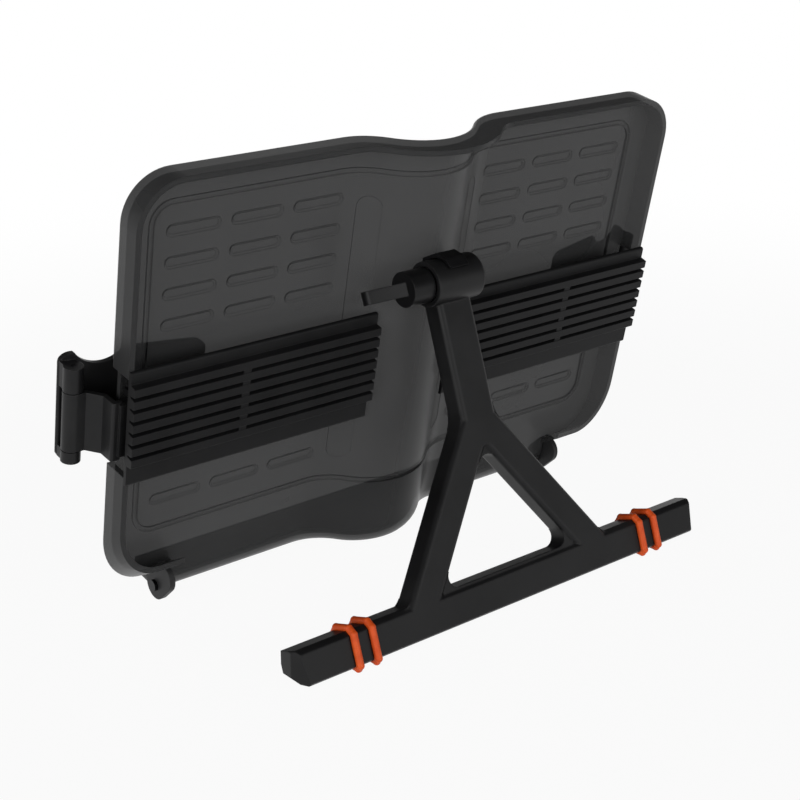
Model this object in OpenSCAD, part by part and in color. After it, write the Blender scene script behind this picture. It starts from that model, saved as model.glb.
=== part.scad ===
// Book stand: a tinted plate with a ledge, tilting on a leaning leg, with two sliding page holders.
// X runs along the foot bar, Y points to the reader, Z is up; Z = 0 is the underside of the bar.
// The plate is drawn in its own frame: X across, Y out of its rear face to the reader, Z up the plate.

/* [Foot bar] */
// Length of the foot bar
bar_len = 249; // [220:1:300]
// Depth of the bar, front to back
bar_d = 14; // [12:0.5:16]
// Height of the bar
bar_h = 16; // [14:0.5:20]
// Chamfer along the upper edges of the bar
bar_edge = 2.2; // [1.6:0.1:3.2]
// Chamfer along the lower edges of the bar
bar_low = 1.4; // [1.3:0.1:2]
// Bevel around the two ends of the bar
bar_end = 2; // [1:0.1:4]
// Slant of each end of the bar at its rear, along the bar
bar_nose = 4.5; // [3:0.1:6]

/* [Grip rings] */
// Thickness of the rubber cord of a ring
ring_cord = 3.5; // [3:0.1:4]
// Depth of the waist that a ring sits in
ring_seat = 1.2; // [0.8:0.1:1.3]
// Distance between the two rings of a pair
ring_pitch = 10; // [7:0.5:14]
// Distance from the end of the bar to the middle of a pair
ring_inset = 35; // [28:0.5:42]

/* [Leg] */
// Forward lean of the leg in degrees
lean = 19.3; // [15:0.1:24]
// Thickness of the leg
leg_t = 12; // [10:0.5:12.5]
// Width of the upright stem
stem_w = 20; // [16:0.5:23]
// Rounding of the long edges of the stem and the struts
leg_edge = 2.6; // [1:0.1:4]
// Distance along the leg from the bar's underside to the tilt axis
leg_reach = 153.1; // [145:0.1:165]
// Height along the leg where the two struts part
knee_v = 89; // [80:1:100]
// Distance between the outer edges of the struts at the top of the bar
strut_span = 124; // [100:1:140]
// Width of a strut, measured along the bar
strut_w = 19.7; // [15:0.1:24]

/* [Tilt joint] */
// Backward lean of the plate in degrees
tilt = 11.5; // [8:0.1:20]
// Diameter of the leg's barrel
hub_d = 21; // [19.5:0.1:23]
// Length of the leg's barrel
hub_len = 27; // [25:0.5:31]
// Width of the plate's tongue inside the barrel
tongue_w = 11.2; // [8:0.2:13]
// Diameter of the clamping bolt
bolt_d = 6; // [5:0.1:6.5]
// Reach of the knob's wings from the axis
wing_r = 22; // [17:0.5:23]

/* [Plate] */
// Width of the plate over its rims
plate_w = 310; // [300:1:330]
// Height of the plate from the underside of the ledge
plate_h = 218.5; // [212:0.5:240]
// Wall thickness of the plate
plate_t = 2.6; // [1.8:0.1:2.8]
// Depth of the rim that is turned to the rear
rim_depth = 11.3; // [9.5:0.1:12]
// Thickness of the rim
rim_t = 2.6; // [1.8:0.1:3.2]
// Radius of the corners
corner_r = 22; // [16:0.5:26]
// Width of the spine trough
trough_w = 90; // [86:1:94]
// Depth of the spine trough
trough_d = 18; // [16:0.1:19]

/* [Ledge] */
// Radius of the bend between the plate and its ledge
roll_r = 13; // [10:0.5:14]
// Depth of the ledge
ledge_d = 27; // [22:0.5:34]
// Height of the lip along the front of the ledge
lip_h = 7.5; // [5:0.5:12]

/* [Embossing] */
// Length of a pressed slot
slot_len = 27; // [20:0.5:29]
// Height of a pressed slot
slot_h = 5.8; // [4:0.2:8]
// Depth of one step of the pressed slots, half the depth of the groove
press = 0.6; // [0.4:0.1:0.8]
// Width of the border groove
groove_w = 2.4; // [1.4:0.1:3]

/* [Guides] */
// Height of the guide
guide_h = 55.6; // [53:0.2:58]
// Thickness of the guide's cover behind the ridges
cover_t = 1.9; // [1.4:0.1:2.4]
// Distance between the ridges on the guide
ridge_pitch = 5.75; // [5:0.05:6]
// Height of the ridges
ridge_rise = 3.6; // [2.4:0.1:3.8]
// Tooth of a guide, width of its flat tip
ridge_w = 4.4; // [3.6:0.05:4.6]

/* [Page holders] */
// Thickness of the holder's leaves
leaf_t = 2.4; // [1.8:0.1:2.8]
// Diameter of the holder's hinge barrel
barrel_d = 8.8; // [7.6:0.1:9.6]
// Height of the hinge barrel
barrel_h = 46.4; // [43:0.2:48]
// Distance from the hinge to the tip of the finger
finger_len = 60; // [50:1:70]
// Diameter of the hinge pin
pin_d = 2.6; // [2:0.1:3]

/* [Feet] */
// Foot, from its pin to the centre of its far end
foot_len = 8.7; // [6:0.1:9]
// Foot, width across its round ends
foot_wide = 14.4; // [12:0.1:14.5]
// Foot thickness
foot_t = 2.8; // [2.4:0.1:4]

/* [Hidden] */
$fn = 48;
e = 0.01;
fit = 0.05;
gap = 0.4;
hub_n = 2.4;
hub_r = hub_d / 2;
hub_y = -bar_d / 2 + hub_n * cos(lean) + leg_reach * sin(lean);
hub_z = -hub_n * sin(lean) + leg_reach * cos(lean);
hub_w = -trough_d - hub_r - 1.6;
hub_v = 155.1;
wall = 2.7;
knuckle_r = hub_r - wall;
bolt_r = bolt_d / 2;
hex_r = bolt_r * 1.92;
ring_swell = 0.1;
washer_t = 1.2;
seat_d = 2.2;
head_h = 4;
fold_in = 28.5;
fold_out = 30;
knob_in = -hub_len / 2 + seat_d - washer_t - 0.3;
knob_len = 13.5;
knob_neck = 6.8;
knob_r = 8.2;
wing_root = 7.4;
wing_tip = 4.4;
wing_t = 6.4;
wing_lean = 5.1;
half_w = plate_w / 2;
bend_in = 38;
bend_sum = (pow(trough_w / 2, 2) + pow(trough_d, 2)) / (2 * trough_d);
bend_out = bend_sum - bend_in;
edge_r = 1.8;
corner_z = 17.5;
trough_low = -0.9;
sill = 8.8;
ledge_s = half_w - 33.2;
groove_s = half_w - 14.4;
groove_top = plate_h - 15.8;
groove_low = 42;
groove_r = 10;
slot_step = 2;
slot_s = [for (i = [0:2]) groove_s - 20.6 - 32.25 * i];
slot_z = concat([for (i = [0:3]) groove_top - 13 - 14.63 * i], [groove_low + 15.9]);
guide_mid = 107.3;
guide_in = 24;
rail_t = 3;
rail_in = trough_w / 2 + 3;
slide_mid = guide_mid - 2.85;
slide_h = 25.5;
ridges = 7;
ridge_mid = guide_mid + 2.9;
web_s = 98;
web_w = 4;
notch_mid = guide_mid - 0.1;
notch_h = 48;
barrel_r = barrel_d / 2;
barrel_s = half_w + 13;
barrel_w = plate_t + 8.6;
barrel_z = guide_mid - 0.4;
arm_z = guide_mid - 3.4;
arm_h = 28.4;
arm_w = barrel_w - barrel_r + leaf_t / 2;
slide_t = 5;
slide_w = -5.5;
slide_in = 75;
pin_r = pin_d / 2;
finger_lip = 2.6;
leaf_over = 3;
foot_up = 126.6;
foot_s = ledge_s + 0.6;
foot_w = 3.4;
foot_v = 6.6;
foot_pin_r = 1.5;
screw_z = [-8.2, 1.8];
screw_r = 1.25;

// Frames

module in_leg() {
  translate([0, -bar_d / 2, 0])
    rotate([-lean, 0, 0])
      children();
}

module at_hub() {
  in_leg()
    translate([0, hub_n, leg_reach])
      children();
}

module in_plate() {
  translate([0, hub_y, hub_z])
    rotate([tilt, 0, 0])
      translate([0, -hub_w, -hub_v])
        children();
}

module on_side(side) {
  if (side < 0) children();
  else mirror([1, 0, 0]) children();
}

module both_sides() {
  children();
  mirror([1, 0, 0])
    children();
}

// Extrusions along the three axes of a frame

module along_x(x0, x1) {
  translate([x0, 0, 0])
    rotate([90, 0, 90])
      linear_extrude(x1 - x0)
        children();
}

module along_y(y0, y1) {
  translate([0, y1, 0])
    rotate([90, 0, 0])
      linear_extrude(y1 - y0)
        children();
}

module along_z(z0, z1) {
  translate([0, 0, z0])
    linear_extrude(z1 - z0)
      children();
}

module rod_x(x0, x1, r) {
  translate([x0, 0, 0])
    rotate([0, 90, 0])
      cylinder(r = r, h = x1 - x0);
}

// Flat shapes

// Space between a corner and the arc that rounds it; a0 and a1 are the directions of its two edges
module corner(p, a0, a1, r) {
  half = (a1 - a0) / 2;
  mid = (a0 + a1) / 2;
  reach = r / tan(half);
  c = p + r / sin(half) * [cos(mid), sin(mid)];
  back = p - 0.02 * [cos(mid), sin(mid)];
  difference() {
    polygon([back, p + reach * [cos(a0), sin(a0)], c, p + reach * [cos(a1), sin(a1)]]);
    translate(c)
      circle(r);
  }
}

module rounded(x0, y0, x1, y1, r) {
  difference() {
    translate([x0, y0])
      square([x1 - x0, y1 - y0]);
    corner([x0, y0], 0, 90, r);
    corner([x1, y0], 90, 180, r);
    corner([x1, y1], 180, 270, r);
    corner([x0, y1], 270, 360, r);
  }
}

module strip(p, q, t) {
  d = q - p;
  translate(p)
    rotate(atan2(d[1], d[0]))
      translate([0, -t / 2])
        square([norm(d), t]);
  for (c = [p, q])
    translate(c)
      circle(t / 2);
}

module stadium(length, height) {
  square([length - height, height], center = true);
  for (s = [-1, 1])
    translate([s * (length - height) / 2, 0])
      circle(height / 2);
}

// Foot bar

function unit(v) = v / norm(v);

// A convex outline drawn again at a distance d inside itself
function inside(p, d) =
  let (n = len(p))
  [for (i = [0:n - 1])
    let (a = unit(p[i] - p[(i + n - 1) % n]), b = unit(p[(i + 1) % n] - p[i]),
      na = [-a[1], a[0]], nb = [-b[1], b[0]])
    p[i] + d * (na + nb) / (1 + na * nb)];

bar_back = [-bar_d / 2 + bar_h * tan(lean), bar_h];
bar_box = [[-bar_d / 2, 0], [bar_d / 2, 0], bar_back + bar_d * cos(lean) * [cos(lean), -sin(lean)], bar_back];
bar_cut = [bar_low, bar_low, bar_edge, bar_edge];

// The bar's section: leaning, flat underneath, its top square to its rear face, with its four edges cut off
function bar_section() =
  [for (i = [0:3], k = [-1, 1])
    bar_box[i] + bar_cut[i] * unit(bar_box[(i + k + 4) % 4] - bar_box[i])];

function ring_at(side, k) = side * (bar_len / 2 - ring_inset + k * ring_pitch / 2);

module bar() {
  l = bar_len / 2;
  b = bar_end;
  n = bar_nose;
  y0 = -bar_d / 2;
  y1 = bar_box[2][0];
  difference() {
    intersection() {
      along_x(-l, l)
        polygon(bar_section());
      along_z(-1, bar_h + 1)
        polygon([[n - l, y0], [l - n, y0], [l, y0 + 2 * n], [l, y1 - b], [l - b, y1], [b - l, y1],
          [-l, y1 - b], [-l, y0 + 2 * n]]);
      along_y(y0 - 1, y1 + 1)
        polygon([[b - l, 0], [l - b, 0], [l, b], [l, bar_h - b], [l - b, bar_h], [b - l, bar_h],
          [-l, bar_h - b], [-l, b]]);
    }
    for (side = [-1, 1], k = [-1, 1])
      along_x(ring_at(side, k) - ring_cord / 2 - 0.2, ring_at(side, k) + ring_cord / 2 + 0.2)
        difference() {
          translate([y0 - 1, -1])
            square([y1 - y0 + 2, bar_h + 2]);
          polygon(inside(bar_section(), ring_seat));
        }
  }
}

// Leg

strut_slope = (strut_span / 2 - stem_w / 2) / (knee_v - bar_h);
strut_a = atan(1 / strut_slope);

// Half width of the struts' outer edge at a height along the leg
function strut_s(v) = strut_span / 2 - strut_slope * (v - bar_h);

// Bar with rounded long edges, its section w wide, from p to q in the leg's face
module member(p, q, w) {
  d = q - p;
  translate([p[0], 0, p[1]])
    rotate([0, 90 - atan2(d[1], d[0]), 0])
      along_z(0, norm(d))
        rounded(-w / 2, 0, w / 2, leg_t, leg_edge);
}

module leg_shape() {
  sw = stem_w / 2;
  low = bar_h * 0.6;
  mid = strut_w / 2;
  apex = knee_v + (sw - mid) / strut_slope;
  hole_low = bar_h / cos(lean) + 0.5;
  hole_s = strut_s(hole_low) - strut_w;
  hole_top = hole_low + hole_s / strut_slope;
  member([0, hole_top], [0, leg_reach], stem_w);
  both_sides()
    member([mid - strut_s(low), low], [mid - strut_s(apex), apex], strut_w * sin(strut_a));
  along_y(leg_edge / 2, leg_t - leg_edge / 2) {
    corner([0, hole_top], 180 + strut_a, 360 - strut_a, 6);
    for (s = [0, 1])
      mirror([s, 0]) {
        corner([strut_s(bar_h), bar_h], 0, 180 - strut_a, 9);
        corner([sw, knee_v], -strut_a, 90, 14);
        corner([hole_s, hole_low], 180 - strut_a, 180, 5);
      }
    polygon([[-hole_s, low], [hole_s, low], [hole_s, hole_low], [-hole_s, hole_low]]);
    polygon([[0, hole_top - e], [sw, knee_v], [0, knee_v + 4], [-sw, knee_v]]);
  }
}

// Space that the tongue sweeps through, seen along the axis in the leg's frame
module tongue_sweep() {
  a0 = lean + tilt - fold_in - 26;
  a1 = lean + tilt + fold_out + 39;
  polygon([[0, 0], for (i = [0:4]) 1.8 * hub_r * [cos(a0 + (a1 - a0) * i / 4), sin(a0 + (a1 - a0) * i / 4)]]);
}

module leg_frame() {
  color("#1b1b1c")
    difference() {
      union() {
        bar();
        in_leg()
          leg_shape();
        at_hub()
          rod_x(-hub_len / 2, hub_len / 2, hub_r);
      }
      at_hub() {
        rod_x(-hub_len, hub_len, bolt_r + 0.1);
        rod_x(-tongue_w / 2 - gap, tongue_w / 2 + gap, knuckle_r + gap);
        along_x(-tongue_w / 2 - gap, tongue_w / 2 + gap)
          tongue_sweep();
        rod_x(-hub_len / 2 - 1, seat_d - hub_len / 2, hub_r - 2.2);
        rotate([0, 90, 0])
          translate([0, 0, hub_len / 2 - head_h - 0.4])
            cylinder(r = hex_r + 0.15, h = head_h + 2, $fn = 6);
      }
    }
}

// Rings: a cord laid round the waist of the bar, a little swollen where it is bent

module ring(x) {
  r = ring_cord / 2;
  p = inside(bar_section(), ring_seat - r - ring_swell - 0.02);
  n = len(p);
  color("#f05018")
    translate([x, 0, 0])
      for (i = [0:n - 1]) {
        d = p[(i + 1) % n] - p[i];
        translate([0, p[i][0], p[i][1]]) {
          sphere(r + ring_swell);
          rotate([atan2(d[1], d[0]) - 90, 0, 0])
            cylinder(r = r, h = norm(d));
        }
      }
}

module ring_left_outer() {
  ring(ring_at(-1, 1));
}

module ring_left_inner() {
  ring(ring_at(-1, -1));
}

module ring_right_inner() {
  ring(ring_at(1, -1));
}

module ring_right_outer() {
  ring(ring_at(1, 1));
}

// Clamp of the tilt joint

module tilt_bolt() {
  color("#8d9096")
    at_hub() {
      rod_x(knob_in - 11, hub_len / 2 - head_h - 0.3, bolt_r);
      rotate([0, 90, 0])
        translate([0, 0, hub_len / 2 - head_h - 0.4])
          cylinder(r = hex_r, h = head_h, $fn = 6);
    }
}

module washer() {
  color("#9a9da3")
    at_hub()
      difference() {
        rod_x(knob_in + 0.3, knob_in + 0.3 + washer_t, hub_r - 3);
        rod_x(knob_in, knob_in + 3, bolt_r + 0.1);
      }
}

// The arm of the knob: a flat taper that leans away from the barrel as it leaves the axis
module wing() {
  root = [knob_in - knob_len / 2, 0];
  tip = [knob_in - knob_len - wing_lean, wing_r - wing_tip];
  d = tip - root;
  side = [-d[1], d[0]] / norm(d);
  along_z(-wing_t / 2, wing_t / 2) {
    polygon([root + wing_root * side, root - wing_root * side, tip - (wing_tip - 0.1) * side,
      tip + (wing_tip - 0.1) * side]);
    translate(tip)
      circle(wing_tip);
  }
}

module wing_knob() {
  color("#161617")
    at_hub()
      rotate([lean - 21, 0, 0])
        difference() {
          union() {
            rod_x(knob_in - knob_len, knob_in, knob_neck);
            rod_x(knob_in - knob_len, -hub_len / 2 - 0.7, knob_r);
            wing();
          }
          rod_x(knob_in - 11.5, knob_in + 1, bolt_r + fit);
        }
}

// Bracket: a pad on the back of the trough and a tongue into the barrel of the leg

module bracket_side() {
  back = -trough_d;
  roof = hub_v + hub_r + 1.8;
  difference() {
    union() {
      translate([hub_w, hub_v - 3.4])
        square([back + 3 - hub_w, 8.4]);
      difference() {
        union() {
          translate([back - 4, hub_v - 3.4])
            square([7, 8.8]);
          translate([back - 1.4, hub_v - 11.5])
            square([4.4, 16]);
          polygon([[hub_w, hub_v], [back + 2.5, hub_v], [back + 2.5, hub_v + 5], [hub_w + 4.5, roof],
            [hub_w - 2.5, roof], [hub_w - 6.5, roof - 2.6]]);
        }
        translate([hub_w, hub_v])
          circle(hub_r + gap);
      }
      translate([hub_w, hub_v])
        circle(knuckle_r);
    }
    translate([hub_w, hub_v])
      circle(bolt_r + fit);
  }
}

module tilt_bracket() {
  tw = tongue_w / 2;
  color("#1a1a1b")
    in_plate()
      difference() {
        along_x(-tw, tw)
          bracket_side();
        along_z(hub_v - 20, hub_v + 20)
          translate([0, bend_in - trough_d])
            circle(bend_in, $fn = 96);
        screws(screw_r);
      }
}

// Countersunk screws, set into the trough from the reader's side
module screws(r) {
  for (z = screw_z)
    translate([0, plate_t - trough_d, hub_v + z])
      rotate([90, 0, 0]) {
        translate([0, 0, -0.6])
          cylinder(r1 = 2.5, r2 = r, h = 1.6);
        cylinder(r = r, h = plate_t + (z > 0 ? 3.6 : 1.2));
      }
}

module bracket_screws() {
  color("#7d8086")
    in_plate()
      screws(screw_r);
}

// Plate

// A section drawn from the plate's rear face, carried along the plate and round the trough
module sweep() {
  out = [-trough_w / 2, -bend_out];
  mid = [0, bend_in - trough_d];
  far = bend_sum;
  both_sides() {
    along_x(trough_w / 2, half_w)
      children();
    intersection() {
      translate(out)
        rotate_extrude($fn = 96)
          translate([bend_out, 0])
            children();
      along_z(-1, plate_h + 1)
        polygon([out, mid, [0, far], [out[0], far]]);
    }
  }
  intersection() {
    translate(mid)
      rotate_extrude($fn = 96)
        translate([bend_in, 0])
          mirror([1, 0])
            children();
    along_z(-1, plate_h + 1)
      polygon([mid, out, [out[0], -far], [-out[0], -far], [-out[0], out[1]]]);
  }
}

module plate_section() {
  difference() {
    union() {
      translate([0, roll_r])
        square([plate_t, plate_h - roll_r]);
      translate([-rim_depth, plate_h - rim_t])
        square([rim_depth + plate_t, rim_t]);
      intersection() {
        translate([roll_r, roll_r])
          difference() {
            circle(roll_r);
            circle(roll_r - plate_t);
          }
        square(roll_r);
      }
      translate([roll_r, 0])
        square([ledge_d - roll_r, plate_t]);
    }
    corner([plate_t, plate_h], 180, 270, edge_r);
  }
}

module plate_outline(inset) {
  rounded(inset - half_w, corner_z + inset, half_w - inset, plate_h - inset, corner_r - inset);
}

// What the carried section keeps: the rims at the two ends are drawn apart
module plate_face() {
  plate_outline(edge_r);
  translate([corner_r - half_w, plate_h - rim_t - 1])
    square([plate_w - 2 * corner_r, rim_t + 2]);
  translate([-ledge_s, -1])
    square([2 * ledge_s, corner_z + 20]);
}

// Section of the rim at an end of the plate, its outer face at X = 0
module rim_section() {
  difference() {
    translate([-rim_t, -rim_depth])
      square([rim_t, rim_depth + plate_t]);
    corner([0, plate_t], 180, 270, edge_r);
  }
}

// Frame of the lower rim, which leans inwards to the rear: Z is square to it
module in_sill() {
  translate([0, 0, corner_z])
    rotate([-atan(sill / rim_depth), 0, 0])
      children();
}

// Lower rim at the right end, from the ledge round the corner and up into the notch
module low_rim() {
  intersection() {
    in_sill()
      along_y(-plate_h / 2, corner_r)
        difference() {
          translate([ledge_s - 2, 0])
            square([half_w - ledge_s + 2, plate_h / 2]);
          corner([half_w, 0], 90, 180, corner_r);
          difference() {
            translate([ledge_s - 3, rim_t])
              square([half_w - rim_t - ledge_s + 3, plate_h / 2]);
            corner([half_w - rim_t, rim_t], 90, 180, corner_r - rim_t);
          }
        }
    translate([0, -rim_depth, 0])
      cube([half_w + 1, rim_depth + plate_t, notch_mid - notch_h / 4]);
  }
}

// The rim at the right end: down from the top to the notch, and below it
module end_rim() {
  translate([half_w - corner_r, 0, plate_h - corner_r])
    rotate([90, 0, 0])
      mirror([0, 0, 1])
        rotate_extrude(angle = 90, $fn = 96)
          translate([corner_r, 0])
            rim_section();
  along_z(notch_mid + notch_h / 4, plate_h - corner_r)
    translate([half_w, 0])
      rim_section();
  low_rim();
}

module end_rims() {
  both_sides()
    end_rim();
}

// Lip and the straight front of the ledge
module ledge_front() {
  along_x(-ledge_s, ledge_s)
    difference() {
      union() {
        translate([roll_r + 1, 0])
          square([ledge_d - roll_r - 1, plate_t]);
        translate([ledge_d - plate_t, 0])
          square([plate_t, lip_h]);
      }
      corner([ledge_d, 0], 90, 180, edge_r);
      corner([ledge_d, lip_h], 180, 270, 1.2);
    }
  along_z(0, plate_t)
    intersection() {
      translate([0, bend_in - trough_d])
        circle(bend_in - roll_r - 1);
      translate([-trough_w / 2, -trough_d])
        square([trough_w, trough_d + roll_r + 2]);
    }
}

// A foot seen from the end of the ledge, grown by a margin
module foot_shape(margin) {
  r = foot_wide / 2 + margin;
  translate([foot_w, foot_v])
    rotate(foot_up) {
      circle(r);
      translate([0, -r])
        square([foot_len, 2 * r]);
      translate([foot_len, 0])
        circle(r);
    }
}

// Bosses on the ends of the ledge that carry the pins of the feet
module foot_boss() {
  along_x(-ledge_s, 6 - ledge_s)
    translate([foot_w, foot_v])
      circle(foot_pin_r + 1.4);
}

module groove_ring(w) {
  difference() {
    rounded(-groove_s - w / 2, groove_low - w / 2, groove_s + w / 2, groove_top + w / 2, groove_r + w / 2);
    rounded(-groove_s + w / 2, groove_low + w / 2, groove_s - w / 2, groove_top - w / 2, groove_r - w / 2);
  }
}

// Everything pressed into the rear face: the border groove, the slots and the uprights in the trough
module pressings() {
  along_y(-1, 2 * press)
    difference() {
      groove_ring(groove_w);
      square([trough_w, 3 * plate_h], center = true);
    }
  for (step = [0, 1])
    along_y(-1, (1 + step) * press)
      for (s = slot_s, z = slot_z, side = [-1, 1])
        translate([side * s, z])
          stadium(slot_len - step * slot_step, slot_h - step * slot_step);
  intersection() {
    sweep() {
      for (z = [groove_low, groove_top])
        translate([-1, z - groove_w / 2])
          square([1 + 2 * press, groove_w]);
    }
    translate([-trough_w / 2 - e, -30, 0])
      cube([trough_w + 2 * e, 60, plate_h]);
  }
  intersection() {
    sweep()
      translate([-1, 0])
        square([1 + press / 2, plate_h]);
    along_y(-trough_d - 5, 10)
      for (s = [-1, 1])
        translate([s * 30.5, (groove_low + groove_top) / 2])
          rotate(90)
            stadium(groove_top - groove_low - 24, 10);
  }
}

// Level floor of the trough, kept clear of the table
module trough_floor() {
  skin = 0.8;
  intersection() {
    in_plate() {
      sweep()
        intersection() {
          translate([roll_r, roll_r])
            circle(roll_r - skin);
          square(roll_r);
        }
      along_z(skin, roll_r)
        translate([0, bend_in - trough_d])
          circle(bend_in - roll_r + skin);
    }
    translate([-bend_in, 0, trough_low - 1])
      cube([2 * bend_in, 3 * plate_h, plate_t + 1]);
  }
}

module plate_shell() {
  difference() {
    union() {
      intersection() {
        sweep()
          plate_section();
        along_y(-60, 60)
          plate_face();
      }
      end_rims();
      ledge_front();
      both_sides()
        foot_boss();
    }
    pressings();
    both_sides() {
      translate([half_w, 0, notch_mid])
        cube([2 * rim_t + 1.2, 40, notch_h], center = true);
      along_x(ledge_s, foot_s + foot_t + 0.6)
        foot_shape(0.5);
      translate([0, foot_w, foot_v])
        rod_x(ledge_s - 5, ledge_s + 1, foot_pin_r);
    }
    screws(screw_r);
  }
}

module plate() {
  color("#47494c", 0.85)
    difference() {
      union() {
        in_plate()
          plate_shell();
        trough_floor();
      }
      translate([-half_w, 0, trough_low - 20])
        cube([plate_w, 3 * plate_h, 20]);
    }
}

// Guides, drawn on the left

module guide_section() {
  back = -rim_depth - cover_t;
  low = guide_mid - guide_h / 2;
  difference() {
    translate([back, low])
      square([cover_t, guide_h]);
    corner([back, low], 0, 90, 1.2);
    corner([back, low + guide_h], 270, 360, 1.2);
  }
  for (i = [0:ridges - 1])
    translate([back, ridge_mid + ridge_pitch * (i - ridges / 2)])
      polygon([[e, 0], [-ridge_rise + 0.4, 0.3], [-ridge_rise, 0.7], [-ridge_rise, ridge_w],
        [-0.5, ridge_pitch - 0.9], [e, ridge_pitch - 0.7]]);
}

module guide(side) {
  back = -rim_depth - cover_t - ridge_rise + 0.3;
  low = ridge_mid - ridge_pitch * ridges / 2 + 0.4;
  color("#1e1e1f")
    in_plate()
      on_side(side) {
        along_x(-half_w, -guide_in)
          guide_section();
        translate([-web_s - web_w / 2, back, low])
          cube([web_w, ridge_rise, ridge_pitch * (ridges - 1) + ridge_w - 0.8]);
        for (z = [slide_mid - slide_h / 2 - 0.5 - rail_t, slide_mid + slide_h / 2 + 0.5])
          translate([-half_w + 5, -rim_depth - e, z])
            cube([half_w - 5 - rail_in, rim_depth + e, rail_t]);
      }
}

module guide_left() {
  guide(-1);
}

module guide_right() {
  guide(1);
}

// Page holders, drawn on the left

module slide(side) {
  bend = [-half_w - 2.7, slide_w];
  turn = [-half_w - 2.9, arm_w - 6.2];
  flat = [-half_w - 8.4, arm_w];
  color("#232324")
    in_plate()
      on_side(side)
        difference() {
          union() {
            translate([-half_w - 1, slide_w - slide_t / 2, slide_mid - slide_h / 2])
              cube([half_w + 1 - slide_in, slide_t, slide_h]);
            for (x = [-slide_in - 8, 24 - half_w])
              translate([x, gap - rim_depth, slide_mid - slide_h / 2])
                cube([8, rim_depth - 2 * gap, slide_h]);
            along_z(arm_z - arm_h / 2, arm_z + arm_h / 2) {
              strip([-half_w, slide_w], bend, leaf_t);
              strip(bend, turn, leaf_t);
              strip(turn, flat, leaf_t);
              strip(flat, [-barrel_s, arm_w], leaf_t);
              translate([-barrel_s, barrel_w])
                circle(barrel_r);
            }
          }
          translate([-barrel_s, barrel_w, 0])
            along_z(0, plate_h)
              circle(pin_r + e);
        }
}

module slide_left() {
  slide(-1);
}

module slide_right() {
  slide(1);
}

module finger(side) {
  z0 = barrel_z - barrel_h / 2;
  z1 = barrel_z + barrel_h / 2;
  tip = [finger_len - barrel_s, plate_t + leaf_t / 2 + 0.8];
  pass = [-barrel_s, barrel_w + 1.03 * (barrel_r + gap + leaf_t / 2 + 0.1)];
  near = pass + finger_lip * [-1, (pass[1] - tip[1]) / finger_len];
  color("#202021")
    in_plate()
      on_side(side) {
        difference() {
          along_z(z0, z1) {
            translate([-barrel_s, barrel_w])
              circle(barrel_r);
            translate([-barrel_s - 3.4, barrel_w])
              square([6.8, barrel_r + gap + leaf_t / 2]);
          }
          translate([-barrel_s, barrel_w, 0])
            along_z(0, plate_h)
              circle(pin_r + fit);
          translate([-barrel_s - barrel_r - 1, barrel_w - barrel_r - 1, arm_z - arm_h / 2 - gap])
            cube([2 * barrel_r + 2, 3 * barrel_r + leaf_t, arm_h + 2 * gap]);
        }
        intersection() {
          along_z(z0 - leaf_over, z1 + leaf_over)
            strip(near, tip, leaf_t);
          along_y(0, barrel_w + 20)
            difference() {
              rounded(near[0] - 1.3, z0 - leaf_over, tip[0] + leaf_t / 2, z1 + leaf_over, 6);
              for (z = [z0 - leaf_over - 7, z1 + leaf_over + 7])
                translate([14 - barrel_s, z])
                  circle(13);
            }
        }
      }
}

module finger_left() {
  finger(-1);
}

module finger_right() {
  finger(1);
}

module hinge_pin(side) {
  color("#a3a6ab")
    in_plate()
      on_side(side)
        translate([-barrel_s, barrel_w, barrel_z - barrel_h / 2])
          cylinder(r = pin_r, h = barrel_h);
}

module hinge_pin_left() {
  hinge_pin(-1);
}

module hinge_pin_right() {
  hinge_pin(1);
}

// Feet at the ends of the ledge

module foot(side) {
  color("#3a3b3d")
    in_plate()
      on_side(side)
        difference() {
          along_x(-foot_s - foot_t, -foot_s)
            foot_shape(0);
          translate([0, foot_w, foot_v])
            rod_x(-foot_s - foot_t - 1, 1 - foot_s, foot_pin_r + fit);
        }
}

module foot_left() {
  foot(-1);
}

module foot_right() {
  foot(1);
}

module foot_pin(side) {
  color("#b0b3b8")
    in_plate()
      on_side(side)
        translate([0, foot_w, foot_v]) {
          rod_x(-foot_s - foot_t - 0.5, 4.5 - ledge_s, foot_pin_r);
          rod_x(-foot_s - foot_t - 1.8, -foot_s - foot_t - 0.3, 2.8);
        }
}

module foot_pin_left() {
  foot_pin(-1);
}

module foot_pin_right() {
  foot_pin(1);
}

leg_frame();
ring_left_outer();
ring_left_inner();
ring_right_inner();
ring_right_outer();
tilt_bolt();
washer();
wing_knob();
tilt_bracket();
bracket_screws();
plate();
guide_left();
guide_right();
slide_left();
slide_right();
finger_left();
finger_right();
hinge_pin_left();
hinge_pin_right();
foot_left();
foot_right();
foot_pin_left();
foot_pin_right();
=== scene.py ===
"""A tilting book stand: black moulded leg, smoked plate, sliding page holders and rubber rings."""

import bpy
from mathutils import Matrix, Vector

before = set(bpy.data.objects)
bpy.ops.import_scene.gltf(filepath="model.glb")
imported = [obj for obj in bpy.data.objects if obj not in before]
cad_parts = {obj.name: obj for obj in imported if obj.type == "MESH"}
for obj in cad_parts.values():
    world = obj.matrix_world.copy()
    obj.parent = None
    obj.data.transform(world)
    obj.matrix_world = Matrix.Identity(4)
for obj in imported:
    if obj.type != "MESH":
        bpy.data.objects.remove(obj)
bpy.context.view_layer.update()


# Leg: one black injection moulding, the foot bar with its struts, stem and tilt barrel.
# Fine satin texture from the mould, cloudy in tone, with a painted highlight that makes the rounded edges a
# little paler.
LEG_DEEP = (0.0060, 0.0060, 0.0064, 1.0)
LEG_PALE = (0.0125, 0.0125, 0.0130, 1.0)
LEG_ROUGHNESS = 0.42
LEG_EDGE_RADIUS = 0.0012

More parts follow.
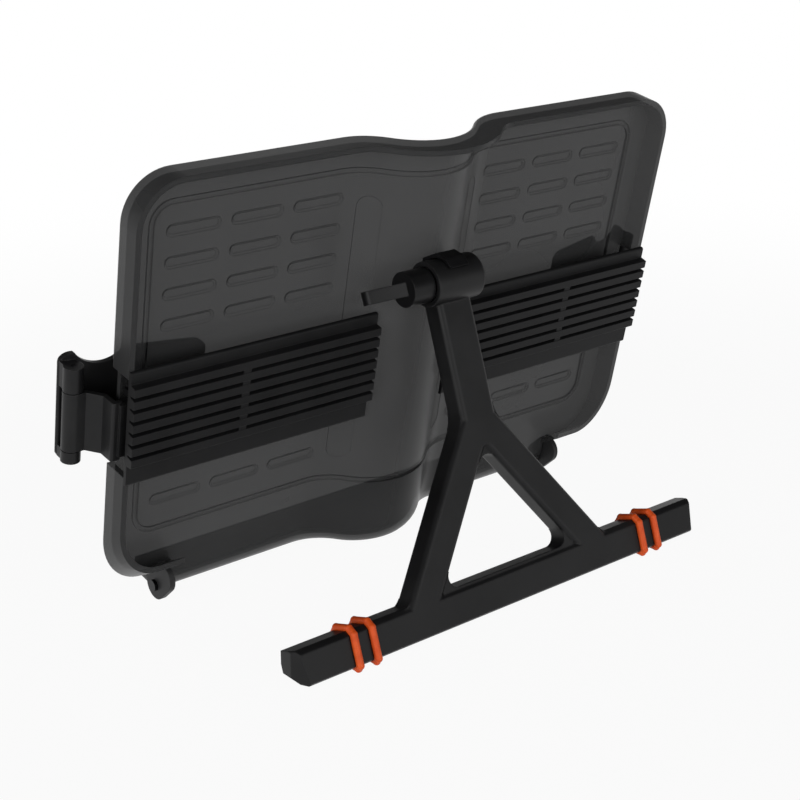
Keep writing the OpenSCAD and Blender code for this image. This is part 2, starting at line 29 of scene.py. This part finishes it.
MOULD_SHINE = 0.20
CLOUD_SCALE, CLOUD_DETAIL = 45.0, 5.0
CLOUD_LOW, CLOUD_HIGH = 0.3, 0.7
SATIN_BELOW, SATIN_ABOVE = 0.05, 0.06
EDGE_FLAT, EDGE_SHARP = 0.99, 0.80
EDGE_HIGHLIGHT_AMOUNT = 0.55
HIGHLIGHT_TIMES_PALER = 2.2
PORE_SCALE = 2600.0
PORE_STRENGTH, PORE_HEIGHT = 0.35, 0.00003
EDGE_SAMPLES = 4


def new_material(name):
    """A new material, with its node tree, its shader and the places on the piece."""
    material = bpy.data.materials.new(name)
    material.use_nodes = True
    tree = material.node_tree
    place = tree.nodes.new("ShaderNodeTexCoord").outputs["Object"]
    return material, tree, tree.nodes["Principled BSDF"], place


def noise(tree, place, scale, detail=2.0, distortion=0.0):
    """Soft noise, from 0 to 1."""
    texture = tree.nodes.new("ShaderNodeTexNoise")
    texture.inputs["Scale"].default_value = scale
    texture.inputs["Detail"].default_value = detail
    texture.inputs["Distortion"].default_value = distortion
    tree.links.new(place, texture.inputs["Vector"])
    return texture.outputs["Fac"]


def two_tone(tree, value, deep, pale, low, high):
    """A deep tone where the value is low, running to a pale one where it is high."""
    ramp = tree.nodes.new("ShaderNodeValToRGB")
    first, last = ramp.color_ramp.elements
    first.position = low
    first.color = deep
    last.position = high
    last.color = pale
    tree.links.new(value, ramp.inputs["Fac"])
    return ramp.outputs["Color"]


def spread(tree, value, to_low, to_high, from_low=0.0, from_high=1.0, curve="LINEAR"):
    """The value carried from one range to another."""
    band = tree.nodes.new("ShaderNodeMapRange")
    band.interpolation_type = curve
    band.inputs["From Min"].default_value = from_low
    band.inputs["From Max"].default_value = from_high
    band.inputs["To Min"].default_value = to_low
    band.inputs["To Max"].default_value = to_high
    tree.links.new(value, band.inputs["Value"])
    return band.outputs["Result"]


def eased_edges(tree, radius):
    """Normals that turn gently over every edge."""
    bevel = tree.nodes.new("ShaderNodeBevel")
    bevel.samples = EDGE_SAMPLES
    bevel.inputs["Radius"].default_value = radius
    return bevel.outputs["Normal"]


def relief(tree, height, strength, distance, normal=None):
    """Normals with a fine relief, over the surface or over given normals."""
    bump = tree.nodes.new("ShaderNodeBump")
    bump.inputs["Strength"].default_value = strength
    bump.inputs["Distance"].default_value = distance
    tree.links.new(height, bump.inputs["Height"])
    if normal is not None:
        tree.links.new(normal, bump.inputs["Normal"])
    return bump.outputs["Normal"]


def moulded_plastic(name, deep, pale, roughness, edge_radius, shine=MOULD_SHINE):
    """Black moulding: cloudy tone, satin grain, edges that a mould always rounds a little, and a painted
    highlight along them.
    """
    material, tree, shader, place = new_material(name)
    shader.inputs["Specular IOR Level"].default_value = shine
    cloud = noise(tree, place, CLOUD_SCALE, CLOUD_DETAIL)
    eased = eased_edges(tree, edge_radius)

    along = tree.nodes.new("ShaderNodeVectorMath")
    along.operation = "DOT_PRODUCT"
    flat = tree.nodes.new("ShaderNodeNewGeometry")
    tree.links.new(eased, along.inputs[0])
    tree.links.new(flat.outputs["Normal"], along.inputs[1])
    # Painted highlight: the rounded edges are mixed toward a paler colour, standing in for the sheen that
    # light leaves on them.
    edge = spread(tree, along.outputs["Value"], 0.0, EDGE_HIGHLIGHT_AMOUNT, EDGE_FLAT, EDGE_SHARP)
    edge_highlight = tree.nodes.new("ShaderNodeMix")
    edge_highlight.data_type = "RGBA"
    edge_highlight.inputs["B"].default_value = tuple(HIGHLIGHT_TIMES_PALER * c for c in pale[:3]) + (1.0,)
    tree.links.new(edge, edge_highlight.inputs["Factor"])
    tree.links.new(two_tone(tree, cloud, deep, pale, CLOUD_LOW, CLOUD_HIGH), edge_highlight.inputs["A"])
    tree.links.new(edge_highlight.outputs["Result"], shader.inputs["Base Color"])

    satin = spread(tree, cloud, roughness - SATIN_BELOW, roughness + SATIN_ABOVE, CLOUD_LOW, CLOUD_HIGH)
    tree.links.new(satin, shader.inputs["Roughness"])
    pores = noise(tree, place, PORE_SCALE)
    tree.links.new(relief(tree, pores, PORE_STRENGTH, PORE_HEIGHT, eased), shader.inputs["Normal"])
    return material


def dress(material, *names):
    """Gives carried-over solids their finish."""
    for name in names:
        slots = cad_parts[name].data.materials
        slots.clear()
        slots.append(material)


dress(moulded_plastic("leg_black", LEG_DEEP, LEG_PALE, LEG_ROUGHNESS, LEG_EDGE_RADIUS), "leg_frame")


# Rings: four orange rubber rings stretched round the foot bar as grips, two near each end.
# Moulded rubber with a dull bloom and a slight skin of fine pores.
RING_ORANGE = (0.90, 0.118, 0.016, 1.0)
RING_DEEP = (0.78, 0.086, 0.010, 1.0)
RING_SHINE = 0.35
RING_DULL, RING_RUBBED = 0.60, 0.40
BLOOM_SCALE, BLOOM_DETAIL = 260.0, 4.0
BLOOM_LOW, BLOOM_HIGH = 0.32, 0.62
SKIN_SCALE = 3200.0
SKIN_STRENGTH, SKIN_HEIGHT = 0.3, 0.00005

rubber, tree, shader, place = new_material("ring_rubber")
shader.inputs["Specular IOR Level"].default_value = RING_SHINE
bloom = noise(tree, place, BLOOM_SCALE, BLOOM_DETAIL)
orange = two_tone(tree, bloom, RING_DEEP, RING_ORANGE, BLOOM_LOW, BLOOM_HIGH)
tree.links.new(orange, shader.inputs["Base Color"])
tree.links.new(spread(tree, bloom, RING_DULL, RING_RUBBED), shader.inputs["Roughness"])
skin = noise(tree, place, SKIN_SCALE)
tree.links.new(relief(tree, skin, SKIN_STRENGTH, SKIN_HEIGHT), shader.inputs["Normal"])
dress(rubber, "ring_left_outer", "ring_left_inner", "ring_right_inner", "ring_right_outer")


# Tilt bolt, washer and bracket screws: plain turned steel.
# Fine rings from the lathe run across the X axis of the parts.
STEEL_PALE = (0.52, 0.53, 0.55, 1.0)
STEEL_DEEP = (0.34, 0.35, 0.37, 1.0)
STEEL_SMOOTH, STEEL_ROUGH = 0.24, 0.40
TURNING_SCALE = (2400.0, 120.0, 120.0)
TURNING_DETAIL = 3.0
TURNING_LOW, TURNING_HIGH = 0.3, 0.7
TURNING_STRENGTH, TURNING_HEIGHT = 0.2, 0.00003


def turned_steel(name, deep, pale):
    """Bare or blackened steel with fine lathe marks."""
    material, tree, shader, place = new_material(name)
    shader.inputs["Metallic"].default_value = 1.0
    stretch = tree.nodes.new("ShaderNodeMapping")
    stretch.inputs["Scale"].default_value = TURNING_SCALE
    tree.links.new(place, stretch.inputs["Vector"])
    turning = noise(tree, stretch.outputs["Vector"], 1.0, TURNING_DETAIL)
    tone = two_tone(tree, turning, deep, pale, TURNING_LOW, TURNING_HIGH)
    tree.links.new(tone, shader.inputs["Base Color"])
    tree.links.new(spread(tree, turning, STEEL_SMOOTH, STEEL_ROUGH), shader.inputs["Roughness"])
    tree.links.new(relief(tree, turning, TURNING_STRENGTH, TURNING_HEIGHT), shader.inputs["Normal"])
    return material


dress(turned_steel("turned_steel", STEEL_DEEP, STEEL_PALE), "tilt_bolt", "washer", "bracket_screws")


# Hinge pins and foot pins: the same turned steel, blackened, pressed into the plastic.
# Oil-black all over, so their heads hardly stand out from the pieces they hold.
PIN_PALE = (0.030, 0.030, 0.032, 1.0)
PIN_DEEP = (0.016, 0.016, 0.017, 1.0)

blackened = turned_steel("blackened_steel", PIN_DEEP, PIN_PALE)
dress(blackened, "hinge_pin_left", "hinge_pin_right", "foot_pin_left", "foot_pin_right")


# Tilt bracket: the black tongue screwed to the trough, clamped inside the leg's barrel.
# Same black moulding as the leg, a shade darker and with less shine.
BRACKET_DEEP = (0.0048, 0.0048, 0.0052, 1.0)
BRACKET_PALE = (0.0100, 0.0100, 0.0106, 1.0)
BRACKET_ROUGHNESS = 0.40
BRACKET_EDGE_RADIUS = 0.0006
BRACKET_SHINE = 0.10

bracket_black = moulded_plastic(
    "bracket_black", BRACKET_DEEP, BRACKET_PALE, BRACKET_ROUGHNESS, BRACKET_EDGE_RADIUS, BRACKET_SHINE)
dress(bracket_black, "tilt_bracket")


# Wing knob: the black lever on the end of the bolt that clamps the tilt.
# Polished by fingers, so it is the smoothest of the black pieces.
KNOB_DEEP = (0.0045, 0.0045, 0.0049, 1.0)
KNOB_PALE = (0.0095, 0.0095, 0.0100, 1.0)
KNOB_ROUGHNESS = 0.32
KNOB_EDGE_RADIUS = 0.0007
KNOB_SHINE = 0.16

knob_black = moulded_plastic(
    "knob_black", KNOB_DEEP, KNOB_PALE, KNOB_ROUGHNESS, KNOB_EDGE_RADIUS, KNOB_SHINE)
dress(knob_black, "wing_knob")


# Plate: one smoked translucent moulding with a spine trough, rim, border groove, slots and ledge.
# Each face lets about a sixth of the light through, so what lies in front shows as a dark ghost.
SMOKE_DEEP = (0.0450, 0.0452, 0.0458, 1.0)
SMOKE_PALE = (0.0530, 0.0533, 0.0540, 1.0)
SMOKE_ALPHA = 0.83
SMOKE_IOR = 1.49
SMOKE_SHINE = 0.11
SMOKE_SMOOTH, SMOKE_ROUGH = 0.26, 0.36
SMOKE_EDGE_RADIUS = 0.0007
FLOW_SCALE, FLOW_DETAIL, FLOW_DISTORTION = 14.0, 3.0, 0.6
FLOW_LOW, FLOW_HIGH = 0.3, 0.7
RIPPLE_SCALE = 900.0
RIPPLE_STRENGTH, RIPPLE_HEIGHT = 0.08, 0.00002

smoked, tree, shader, place = new_material("smoked_plastic")
shader.inputs["Alpha"].default_value = SMOKE_ALPHA
shader.inputs["IOR"].default_value = SMOKE_IOR
shader.inputs["Specular IOR Level"].default_value = SMOKE_SHINE
flow = noise(tree, place, FLOW_SCALE, FLOW_DETAIL, FLOW_DISTORTION)
tree.links.new(two_tone(tree, flow, SMOKE_DEEP, SMOKE_PALE, FLOW_LOW, FLOW_HIGH), shader.inputs["Base Color"])
tree.links.new(spread(tree, flow, SMOKE_SMOOTH, SMOKE_ROUGH), shader.inputs["Roughness"])
eased = eased_edges(tree, SMOKE_EDGE_RADIUS)
ripple = noise(tree, place, RIPPLE_SCALE)
tree.links.new(relief(tree, ripple, RIPPLE_STRENGTH, RIPPLE_HEIGHT, eased), shader.inputs["Normal"])
dress(smoked, "plate")


# Guides: two black ribbed rails across the back of the plate, which the page holders slide in.
# Satin moulding, with a painted highlight making the ribs' edges a little paler.
GUIDE_DEEP = (0.0065, 0.0065, 0.0070, 1.0)
GUIDE_PALE = (0.0125, 0.0125, 0.0130, 1.0)
GUIDE_ROUGHNESS = 0.46
GUIDE_EDGE_RADIUS = 0.0004
GUIDE_SHINE = 0.12

guide_black = moulded_plastic(
    "guide_black", GUIDE_DEEP, GUIDE_PALE, GUIDE_ROUGHNESS, GUIDE_EDGE_RADIUS, GUIDE_SHINE)
dress(guide_black, "guide_left", "guide_right")


# Page holders: a slide with an arm round the plate's edge, and a finger hinged to it on a pin.
# Black mouldings, slightly paler than the leg.
HOLDER_DEEP = (0.0085, 0.0085, 0.0090, 1.0)
HOLDER_PALE = (0.0160, 0.0160, 0.0166, 1.0)
HOLDER_ROUGHNESS = 0.40
HOLDER_EDGE_RADIUS = 0.0005

holder_black = moulded_plastic(
    "holder_black", HOLDER_DEEP, HOLDER_PALE, HOLDER_ROUGHNESS, HOLDER_EDGE_RADIUS)
dress(holder_black, "slide_left", "slide_right", "finger_left", "finger_right")


# Feet: two small grey-black paddles that swing on pins at the ends of the ledge.
# The palest of the black mouldings, and the most matt.
FOOT_DEEP = (0.018, 0.018, 0.019, 1.0)
FOOT_PALE = (0.030, 0.030, 0.031, 1.0)
FOOT_ROUGHNESS = 0.5
FOOT_EDGE_RADIUS = 0.0006

foot_grey = moulded_plastic("foot_grey", FOOT_DEEP, FOOT_PALE, FOOT_ROUGHNESS, FOOT_EDGE_RADIUS)
dress(foot_grey, "foot_left", "foot_right")


# Floor: plain white paper under the rubber rings, which the camera sees as almost pure white.
# It keeps a faint shadow under the stand, and fades to pure white away from it.
FLOOR_Z = -0.00256
FLOOR_SIZE = 30.0
FLOOR_WHITE = (0.76, 0.76, 0.76, 1.0)
FLOOR_SHADOW_SHARE = 0.06
SHADOW_NEAR, SHADOW_FAR = 0.30, 0.90


def combined(tree, operation, first, second):
    """One value worked out from two, such as the larger of them or their product."""
    step = tree.nodes.new("ShaderNodeMath")
    step.operation = operation
    tree.links.new(first, step.inputs[0])
    tree.links.new(second, step.inputs[1])
    return step.outputs["Value"]


def in_sight(tree):
    """1 where a ray shows what the camera sees, straight, mirrored or through glass, and 0 for soft light."""
    ray = tree.nodes.new("ShaderNodeLightPath").outputs
    seen = combined(tree, "MAXIMUM", ray["Is Camera Ray"], ray["Is Glossy Ray"])
    return combined(tree, "MAXIMUM", seen, ray["Is Transmission Ray"])


bpy.ops.object.select_all(action="DESELECT")
bpy.ops.mesh.primitive_plane_add(size=FLOOR_SIZE, location=(0.0, 0.0, FLOOR_Z))
floor = bpy.context.active_object
floor.name = "floor"
paper = bpy.data.materials.new("white_paper")
paper.use_nodes = True
tree = paper.node_tree
shader = tree.nodes["Principled BSDF"]
shader.inputs["Base Color"].default_value = FLOOR_WHITE
shader.inputs["Roughness"].default_value = 1.0
shader.inputs["Specular IOR Level"].default_value = 0.0
glow = tree.nodes.new("ShaderNodeEmission")
glow.inputs["Strength"].default_value = 1.0
here = tree.nodes.new("ShaderNodeNewGeometry")
away = tree.nodes.new("ShaderNodeVectorMath")
away.operation = "LENGTH"
tree.links.new(here.outputs["Position"], away.inputs[0])
white = spread(
    tree, away.outputs["Value"], 1.0 - FLOOR_SHADOW_SHARE, 1.0, SHADOW_NEAR, SHADOW_FAR, "SMOOTHSTEP")
mixed = tree.nodes.new("ShaderNodeMixShader")
tree.links.new(combined(tree, "MULTIPLY", in_sight(tree), white), mixed.inputs["Fac"])
tree.links.new(shader.outputs["BSDF"], mixed.inputs[1])
tree.links.new(glow.outputs["Emission"], mixed.inputs[2])
tree.links.new(mixed.outputs["Shader"], tree.nodes["Material Output"].inputs["Surface"])
floor.data.materials.append(paper)


# Surround: white all round the stand, as in a light tent, and dimmer overhead.
# The camera sees it pure white at the horizon, and as light it is weaker.
WORLD_STRENGTH = 0.50
WORLD_WHITE = (1.0, 1.0, 1.0, 1.0)
OVERHEAD = 0.12
HAZE_LOW, HAZE_HIGH = 0.02, 0.32

world = bpy.data.worlds.new("white_surround")
bpy.context.scene.world = world
world.use_nodes = True
tree = world.node_tree
sky = tree.nodes["Background"]
sky.inputs["Color"].default_value = WORLD_WHITE
level = spread(tree, in_sight(tree), WORLD_STRENGTH, 1.0)
toward = tree.nodes.new("ShaderNodeTexCoord")
height = tree.nodes.new("ShaderNodeSeparateXYZ")
tree.links.new(toward.outputs["Generated"], height.inputs["Vector"])
dusk = spread(tree, height.outputs["Z"], 1.0, OVERHEAD, HAZE_LOW, HAZE_HIGH, "SMOOTHSTEP")
tree.links.new(combined(tree, "MULTIPLY", level, dusk), sky.inputs["Strength"])


# Lamps: a broad soft key from the camera's left, a fill from its right, and a weak lamp on the reader's side.
# All stand well back, so the black plastic shows long soft highlights. Each has its place, size and watts.
LAMPS = {
    "key": ((-1.55, -0.40, 0.35), 1.2, 14.0),
    "fill": ((0.10, -1.50, 0.40), 1.2, 11.0),
    "front": ((0.50, 1.60, 0.60), 1.4, 3.0),
}
LAMP_AIM = Vector((0.0, 0.05, 0.11))


def aimed(spot, aim):
    """The turn that points a lamp or the camera from its place at its aim."""
    return (aim - Vector(spot)).to_track_quat("-Z", "Y").to_euler()


for name, (spot, size, watts) in LAMPS.items():
    data = bpy.data.lights.new(name, "AREA")
    data.size = size
    data.energy = watts
    lamp = bpy.data.objects.new(name, data)
    lamp.location = spot
    lamp.rotation_euler = aimed(spot, LAMP_AIM)
    bpy.context.scene.collection.objects.link(lamp)


# Camera: behind the stand and to its left, above the top of the plate.
# Its place and focal length come from a fit of the bar, the leg and the slots of the plate.
CAMERA_PLACE = (-0.4772, -0.4941, 0.3537)
CAMERA_AIM = Vector((-0.07226, -0.0070, 0.11741))
CAMERA_LENS = 73.85
CAMERA_SENSOR = 36.0
CAMERA_NEAR = 0.01

lens = bpy.data.cameras.new("camera")
lens.lens = CAMERA_LENS
lens.sensor_width = CAMERA_SENSOR
lens.clip_start = CAMERA_NEAR
camera = bpy.data.objects.new("camera", lens)
camera.location = CAMERA_PLACE
camera.rotation_euler = aimed(CAMERA_PLACE, CAMERA_AIM)
bpy.context.scene.collection.objects.link(camera)
bpy.context.scene.camera = camera
bpy.context.scene.view_settings.view_transform = "Standard"
